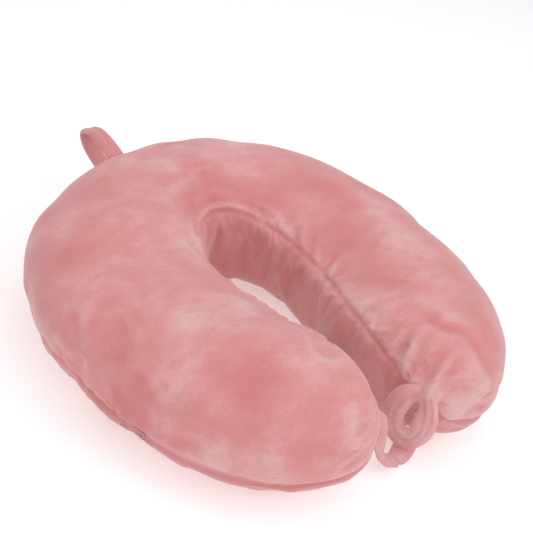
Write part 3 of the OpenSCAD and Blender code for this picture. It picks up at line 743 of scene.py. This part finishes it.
hang_angle = np.linspace(0, 2*math.pi, HANG_STEPS)
hang_ahead = (HANG_LENGTH - HANG_THICKNESS/2)*(1 - np.cos(hang_angle))/2
hang_spread = HANG_BELLY*(HANG_OPEN + HANG_THICKNESS)*np.sin(hang_angle)
hang_spread = hang_spread*np.sin(hang_angle/2)**HANG_TEAR
hang_side = np.sign(math.pi - hang_angle)
hang_spread += (HANG_THICKNESS/2 + HANG_GAP)*np.cos(hang_angle/2)**2*hang_side
rise = math.radians(HANG_RISE)
hang_centres = np.stack([
    np.zeros(HANG_STEPS),
    NECK_RADIUS + NECK_Y + SEAM_OUT - HANG_SEWN_IN
    + hang_ahead*math.cos(rise) - hang_spread*math.sin(rise),
    WIDEST_AT*BACK_HEIGHT - SEAM_SINK
    + hang_ahead*math.sin(rise) + hang_spread*math.cos(rise)], -1)
hang_normals = np.cross(along_line(hang_centres), [1, 0, 0])
round_angle, wide, deep = section(HANG_ROUND, FLAT_ACROSS, FLAT_DEEP)
flare = HANG_WIDTH + HANG_FLARE*np.exp(-hang_ahead/FLARE_REACH)
# Lengthwise ridges where the seam allowance and the stitching lie inside the tape
ridge_strength = 1 - RIDGE_CHANGE + RIDGE_CHANGE*np.sin(hang_ahead/RIDGE_CHANGE_LENGTH)
ridges = 1 + HANG_RIDGE*np.cos(wide*math.pi*HANG_RIDGES)[None, :]*ridge_strength[:, None]
hang_across = (flare[:, None]/2*wide)[..., None]*np.array([1, 0, 0])
hang_half = mix(HANG_SEWN, HANG_STUFFED, smooth(hang_ahead/HANG_SEWN_REACH))/2
hang_thick = (hang_half[:, None]*deep*ridges)[..., None]*hang_normals[:, None, :]
hang = tube("hang_loop_tape", hang_centres, hang_across, hang_thick)
hang.data.materials.append(velour)
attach(hang, "hang_loop_body")
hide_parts("hang_loop")

# ---------------------------------------------------------------------------------------
# Toggle strap and toggle
# A flat strap of the velour comes out of the left tip's seam, runs down beside the closure
# loop and passes under it. A stuffed bar of the same cloth is sewn to its end.

STRAP_WIDTH = 0.012
STRAP_THICKNESS = 0.0026
STRAP_ROUTE = [
    (-0.002, 0, 0.0465), (0.004, 0, 0.045), (0.008, 0, 0.040), (0.010, 0, 0.032),
    (0.012, 0, 0.023), (0.015, 0, 0.014), (0.020, -0.001, 0.008), (0.027, -0.0025, 0.0054),
]
STRAP_TWIST = 62
STRAP_STEPS, STRAP_ROUND = 90, 28
TOGGLE_LENGTH = 0.028
TOGGLE_THICKNESS = 0.0084
TOGGLE_WIDTH = STRAP_WIDTH + 0.0025
TOGGLE_TURN = 24
TOGGLE_LOW = 0.0006
TOGGLE_STEPS, TOGGLE_ROUND = 72, 48
# Where along the strap its twist has come, and where it has gone and how long that takes
TWIST_BY, TWIST_GONE, UNTWIST = 0.22, 0.92, 0.40
STITCH_DENT, STITCH_AT, STITCH_WIDTH = 0.3, 0.72, 0.09
STRAP_PULL, STRAP_PULLS = 0.12, 2.2
STRAP_UNEVEN, STRAP_UNEVEN_SPACING = 0.03, 0.17
TOGGLE_END, TOGGLE_SQUARE = 0.30, 0.35
TOGGLE_SECTION = 0.8
TOGGLE_PUCKER, TOGGLE_PUCKERS = 0.07, 7
TOGGLE_SEAM, TOGGLE_SEAM_WIDTH = 0.10, 0.16

MIRROR = np.array([-1, 1, 1])


def from_tip(ahead, front, z):
    return tip_at + tip_ahead*ahead + tip_front*front + UPWARD*z


route = np.array([from_tip(*point) for point in STRAP_ROUTE])*MIRROR
strap_centres = resampled(route, STRAP_STEPS, 0, False)
strap_tangents = along_line(strap_centres)
strap_share = np.linspace(0, 1, STRAP_STEPS)
strap_flat = tip_front*MIRROR
strap_normals = unit(np.cross(strap_tangents, strap_flat))
# The strap turns as it hangs, so that its face shows from the front, and lies flat again.
twist = smooth(strap_share/TWIST_BY)*smooth((TWIST_GONE - strap_share)/UNTWIST)
twist = np.radians(STRAP_TWIST)*twist
strap_side = strap_flat*np.cos(twist)[:, None] + strap_normals*np.sin(twist)[:, None]
strap_normals = unit(np.cross(strap_tangents, strap_side))
round_angle, wide, deep = section(STRAP_ROUND, FLAT_ACROSS, FLAT_DEEP)
deep = deep*(1 - STITCH_DENT*bell(np.abs(wide) - STITCH_AT, STITCH_WIDTH))
strap_pull = 1 - STRAP_PULL*np.sin(strap_share*math.pi*STRAP_PULLS)**2
strap_pull += STRAP_UNEVEN*waves(strap_share, STRAP_UNEVEN_SPACING, 2)
strap_across = (STRAP_WIDTH/2*strap_pull[:, None]*wide)[..., None]*strap_side[:, None, :]
strap_thick = (STRAP_THICKNESS/2*deep)[None, :, None]*strap_normals[:, None, :]
strap = tube("toggle_strap_band", strap_centres, strap_across, strap_thick)
strap.data.materials.append(velour)
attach(strap, "toggle")
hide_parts("toggle_strap")

toggle_turn = math.radians(TOGGLE_TURN)
toggle_heading = np.array([math.cos(toggle_turn), math.sin(toggle_turn), 0])
toggle_side = np.array([-toggle_heading[1], toggle_heading[0], 0])
toggle_start = np.array([route[-1][0], route[-1][1], TOGGLE_LOW + TOGGLE_THICKNESS/2])
toggle_share = np.linspace(0, 1, TOGGLE_STEPS)
toggle_centres = toggle_start + toggle_share[:, None]*TOGGLE_LENGTH*toggle_heading
fatness = np.clip(np.sin(math.pi*toggle_share), 0, 1)
bulge = TOGGLE_END + (1 - TOGGLE_END)*fatness**TOGGLE_SQUARE
round_angle, wide, deep = section(TOGGLE_ROUND, TOGGLE_SECTION, TOGGLE_SECTION)
# Puckers run in from the two sewn ends, and a seam pulls the long sides in.
puckers = TOGGLE_PUCKER*np.cos(round_angle*TOGGLE_PUCKERS + 0.8)[None, :]
puckers = 1 + puckers*(1 - np.sin(math.pi*toggle_share))[:, None]
seam_pull = 1 - TOGGLE_SEAM*bell(np.sin(round_angle), TOGGLE_SEAM_WIDTH)
toggle_across = (TOGGLE_WIDTH/2*bulge[:, None]*wide*puckers*seam_pull)[..., None]*toggle_side
toggle_thick = (TOGGLE_THICKNESS/2*bulge[:, None]*deep*puckers)[..., None]*UPWARD
toggle = tube("toggle_stuffed_bar", toggle_centres, toggle_across, toggle_thick)
toggle.data.materials.append(velour)
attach(toggle, "toggle")
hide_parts("toggle_bar")

# ---------------------------------------------------------------------------------------
# Closure loop
# A tube of the velour, lightly stuffed, bent into an oval with both ends sewn together into
# the right tip's seam. It hangs flat against the tip, and takes the toggle to shut the U.

LOOP_WIDTH, LOOP_HEIGHT = 0.034, 0.046
LOOP_TUBE_WIDTH, LOOP_TUBE_THICKNESS = 0.011, 0.006
LOOP_LOW = 0.0105
LOOP_STAND_OFF = 0.0025
# How far its top is pulled into the seam, and where and over how much of the turn, in radians
LOOP_SEWN_IN, LOOP_SEWN_AT, LOOP_SEWN_SPREAD = 0.0058, -0.35, 0.62
LOOP_FATTER, LOOP_FAT_CHANGE = 1.36, 0.06
LOOP_PINCH, LOOP_PINCH_SPREAD = 0.16, 0.30
LOOP_SHRUNK = 0.0011
LOOP_STEPS, LOOP_ROUND = 160, 40
LOOP_SECTION = 0.9
BUNCH, BUNCHES = 0.06, 13
FOLD_ONE, FOLD_ONE_AT, FOLD_ONE_WIDTH = 0.36, -0.12, 0.13
FOLD_TWO, FOLD_TWO_CHANGE = 0.16, 0.12
FOLD_TWO_AT, FOLD_TWO_SWAY, FOLD_TWO_WIDTH = 0.45, 0.15, 0.10

loop_angle = np.arange(LOOP_STEPS)/LOOP_STEPS*2*math.pi
from_top = (loop_angle - math.pi/2 + math.pi) % (2*math.pi) - math.pi
loop_centre = from_tip(LOOP_STAND_OFF + LOOP_TUBE_THICKNESS/2, 0, LOOP_LOW + LOOP_HEIGHT/2)
spokes = tip_front*np.cos(loop_angle)[:, None] + UPWARD*np.sin(loop_angle)[:, None]
ring_across = (LOOP_WIDTH - LOOP_TUBE_WIDTH)/2 - LOOP_SHRUNK
ring_up = (LOOP_HEIGHT - LOOP_TUBE_WIDTH)/2 - LOOP_SHRUNK
sewn_in = LOOP_SEWN_IN*bell(from_top - LOOP_SEWN_AT, LOOP_SEWN_SPREAD)
loop_centres = (loop_centre + tip_front*(np.cos(loop_angle)*ring_across)[:, None]
                + UPWARD*(np.sin(loop_angle)*ring_up)[:, None] - tip_ahead*sewn_in[:, None])
round_angle, wide, deep = section(LOOP_ROUND, LOOP_SECTION, LOOP_SECTION)
# The cloth bunches on the inside of the bend, and two folds run round the tube's face.
bunch = BUNCH*np.cos(loop_angle*BUNCHES + 0.6*np.sin(loop_angle*3))
bunch = 1 + bunch[:, None]*(wide < 0)[None, :]
folds = 1 - FOLD_ONE*bell(wide - FOLD_ONE_AT, FOLD_ONE_WIDTH)*(deep > 0)
fold_two = FOLD_TWO + FOLD_TWO_CHANGE*np.sin(loop_angle + 1)
fold_two_at = FOLD_TWO_AT + FOLD_TWO_SWAY*np.sin(2*loop_angle)
folds = folds[None, :] - fold_two[:, None]*bell(wide[None, :] - fold_two_at[:, None], FOLD_TWO_WIDTH)
loop_fat = LOOP_FATTER + LOOP_FAT_CHANGE*np.sin(3*loop_angle + 1)
loop_fat = loop_fat - LOOP_PINCH*bell(from_top, LOOP_PINCH_SPREAD)
loop_across = (LOOP_TUBE_WIDTH/2*loop_fat[:, None]*wide*bunch)[..., None]*spokes[:, None, :]
loop_thick = (LOOP_TUBE_THICKNESS/2*(0.2 + 0.8*loop_fat[:, None])*deep*folds)[..., None]*tip_ahead
loop = tube("closure_loop_ring", loop_centres, loop_across, loop_thick, closed=True)
loop.data.materials.append(velour)
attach(loop, "closure_loop_body")
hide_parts("closure_loop")

# ---------------------------------------------------------------------------------------
# Zip
# A nylon coil zip sewn behind the outer seam of the left arm: two woven tapes, a coil on
# each, a crimped stop at both ends, and a slider with a pull on a pin.

# Woven polyester dyed to match, with its diagonal rows of threads drawn about 2.3 mm apart,
# twice as far as real ones. Diagonal bands are 2/sqrt(3) as far apart as straight ones.
ROW_SPACING = 0.002278
tape = new_material("woven_polyester_tape")
where = add_node(tape, "ShaderNodeTexCoord").outputs["Object"]
weave = add_node(tape, "ShaderNodeTexWave", {
    "Vector": where, "Scale": 2/math.sqrt(3)*WAVE_PERIOD/ROW_SPACING, "Distortion": 0.8},
    bands_direction="DIAGONAL")
tape_colour = stops(add_node(tape, "ShaderNodeValToRGB", {"Fac": weave.outputs["Fac"]}),
                    (0.2, "#9c5f62"), (0.8, "#b87a7c"))
threads = add_node(tape, "ShaderNodeBump", {"Height": weave.outputs["Fac"], "Strength": 0.5,
                                            "Distance": 0.0002})
finish_material(tape, add_node(tape, "ShaderNodeBsdfPrincipled", {
    "Base Color": tape_colour.outputs["Color"], "Roughness": 0.8, "Normal": threads.outputs["Normal"]}))

# Nylon monofilament, dyed in lots that vary a little: smooth and slightly shiny.
DYE_SIZE = 0.006
nylon = new_material("dyed_nylon_monofilament")
where = add_node(nylon, "ShaderNodeTexCoord").outputs["Object"]
dye = add_node(nylon, "ShaderNodeTexNoise", {"Vector": where, "Scale": 1/DYE_SIZE, "Detail": 2.0})
nylon_colour = stops(add_node(nylon, "ShaderNodeValToRGB", {"Fac": dye.outputs["Fac"]}),
                     (0.3, "#a86669"), (0.7, "#bd7d7f"))
finish_material(nylon, add_node(nylon, "ShaderNodeBsdfPrincipled", {
    "Base Color": nylon_colour.outputs["Color"], "Roughness": 0.35, "IOR": 1.53}))

# Zinc die casting with a baked paint: satin, with faint orange peel.
PEEL_SIZE = 0.0008
painted_zinc = new_material("painted_zinc_casting")
where = add_node(painted_zinc, "ShaderNodeTexCoord").outputs["Object"]
peel = add_node(painted_zinc, "ShaderNodeTexNoise", {"Vector": where, "Scale": 1/PEEL_SIZE, "Detail": 2.0})
paint_colour = stops(add_node(painted_zinc, "ShaderNodeValToRGB", {"Fac": peel.outputs["Fac"]}),
                     (0.3, "#a9696b"), (0.7, "#b57577"))
skin_peel = add_node(painted_zinc, "ShaderNodeBump", {"Height": peel.outputs["Fac"], "Strength": 0.15,
                                                      "Distance": 0.0001})
finish_material(painted_zinc, add_node(painted_zinc, "ShaderNodeBsdfPrincipled", {
    "Base Color": paint_colour.outputs["Color"], "Roughness": 0.38, "Coat Weight": 0.3,
    "Normal": skin_peel.outputs["Normal"]}))

ZIP_FINISHES = {
    tape: ["zip_tape_upper", "zip_tape_lower"],
    painted_zinc: ["zip_stop_near_tip", "zip_stop_near_back", "zip_slider", "zip_pull_pin", "zip_pull"],
}
for material, names in ZIP_FINISHES.items():
    for name in names:
        frame["nodes"][name].data.materials.clear()
        frame["nodes"][name].data.materials.append(material)

# Each coil is one thread wound in turns 1.4 mm apart, which grip the turns of the other.
COIL_PITCH = 0.0014
THREAD_RADIUS = 0.00028
TURN_POINTS, THREAD_SIDES = 10, 6
zip_joint = next(joint for joint in frame["joints"] if joint["name"] == "zip_slide")
zip_centre = np.array(zip_joint["pos_m"][:2])
for name, phase in (("zip_coil_upper", 0), ("zip_coil_lower", 0.5)):
    corners = np.array([v.co for v in frame["nodes"][name].data.vertices])
    arms = corners[:, :2] - zip_centre
    far = np.linalg.norm(arms, axis=1)
    bearing = np.unwrap(np.sort(np.arctan2(arms[:, 1], arms[:, 0]) % (2*math.pi)))
    radius = (far.min() + far.max())/2
    half_deep = (far.max() - far.min())/2 - THREAD_RADIUS
    low_z, high_z = corners[:, 2].min(), corners[:, 2].max()
    half_high = (high_z - low_z)/2 - THREAD_RADIUS
    turn_count = int((bearing[-1] - bearing[0])*radius/COIL_PITCH)
    steps = np.arange(turn_count*TURN_POINTS)
    winding = (steps/TURN_POINTS + phase)*2*math.pi
    around = mix(bearing[0], bearing[-1], steps/steps[-1])
    coil_far = radius + half_deep*np.cos(winding)
    line = np.stack([zip_centre[0] + coil_far*np.cos(around), zip_centre[1] + coil_far*np.sin(around),
                     (low_z + high_z)/2 + half_high*np.sin(winding)], -1)
    tangents = along_line(line)
    first = unit(np.cross(tangents, UPWARD))
    second = np.cross(tangents, first)
    spin = np.arange(THREAD_SIDES)/THREAD_SIDES*2*math.pi
    coil = tube(name + "_turns", line, THREAD_RADIUS*first[:, None, :]*np.cos(spin)[None, :, None],
                THREAD_RADIUS*second[:, None, :]*np.sin(spin)[None, :, None])
    coil.data.materials.append(nylon)
    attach(coil, "left_arm")
    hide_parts(name)

# ---------------------------------------------------------------------------------------
# Floor, light and camera
# A pale seamless floor, broad soft light from the front and above, and a camera that looks
# down on the left front of the pillow.

FLOOR_SIZE = 6
GRAIN_SIZE = 0.004
bpy.ops.object.select_all(action="DESELECT")
bpy.ops.mesh.primitive_plane_add(size=FLOOR_SIZE, location=(0, 0, 0))
floor = bpy.context.object
floor.name = "floor"
# Seamless background paper, white and matt, with a fine, barely visible grain.
paper = new_material("white_paper_sweep")
where = add_node(paper, "ShaderNodeTexCoord").outputs["Object"]
grain = add_node(paper, "ShaderNodeTexNoise", {"Vector": where, "Scale": 1/GRAIN_SIZE, "Detail": 2.0})
paper_colour = stops(add_node(paper, "ShaderNodeValToRGB", {"Fac": grain.outputs["Fac"]}),
                     (0.0, "#f7f7f8"), (1.0, "#fbfbfb"))
finish_material(paper, add_node(paper, "ShaderNodeBsdfPrincipled", {
    "Base Color": paper_colour.outputs["Color"], "Roughness": 0.9}))
floor.data.materials.append(paper)

WORLD_STRENGTH = 0.66
world = bpy.data.worlds.new("studio")
world.use_nodes = True
bpy.context.scene.world = world
background = world.node_tree.nodes["Background"]
background.inputs["Color"].default_value = linear("#ffffff")
background.inputs["Strength"].default_value = WORLD_STRENGTH
bpy.context.scene.view_settings.view_transform = "Standard"

# Only the key light casts a shadow, so that the two fills reach into the neck hole.
LIGHTS = [
    # name, place, size and power in watts
    ("key", (0.55, -0.95, 0.95), 0.7, 3.0),
    ("front_fill", (-0.75, -0.75, 0.55), 0.8, 4.4),
    ("top", (0.25, 0.1, 1.3), 0.9, 7.0),
]
LIT_AT = Vector((0, 0, 0.04))
for name, spot, size, power in LIGHTS:
    bpy.ops.object.light_add(type="AREA", location=spot)
    lamp = bpy.context.object
    lamp.name = name
    lamp.data.size = size
    lamp.data.energy = power
    lamp.data.use_shadow = name == "key"
    lamp.rotation_euler = (LIT_AT - Vector(spot)).to_track_quat("-Z", "Y").to_euler()

CAMERA_AZIMUTH, CAMERA_ELEVATION, CAMERA_ROLL = -44.3, 33.27, 12
CAMERA_DISTANCE = 0.8345
CAMERA_TARGET = (0.025, 0.0111 + NECK_Y, 0.040)
CAMERA_LENS = 80.09
azimuth, elevation, roll = (math.radians(v) for v in (CAMERA_AZIMUTH, CAMERA_ELEVATION, CAMERA_ROLL))
back_way = Vector((math.sin(azimuth)*math.cos(elevation), -math.cos(azimuth)*math.cos(elevation),
                   math.sin(elevation)))
level = Vector((math.cos(azimuth), math.sin(azimuth), 0))
upright = back_way.cross(level)
right_way = level*math.cos(roll) + upright*math.sin(roll)
up_way = -level*math.sin(roll) + upright*math.cos(roll)
bpy.ops.object.camera_add()
camera = bpy.context.object
camera.name = "camera"
camera.data.lens = CAMERA_LENS
camera.matrix_world = Matrix.Translation(Vector(CAMERA_TARGET) + back_way*CAMERA_DISTANCE) @ Matrix(
    (right_way, up_way, back_way)).transposed().to_4x4()
bpy.context.scene.camera = camera
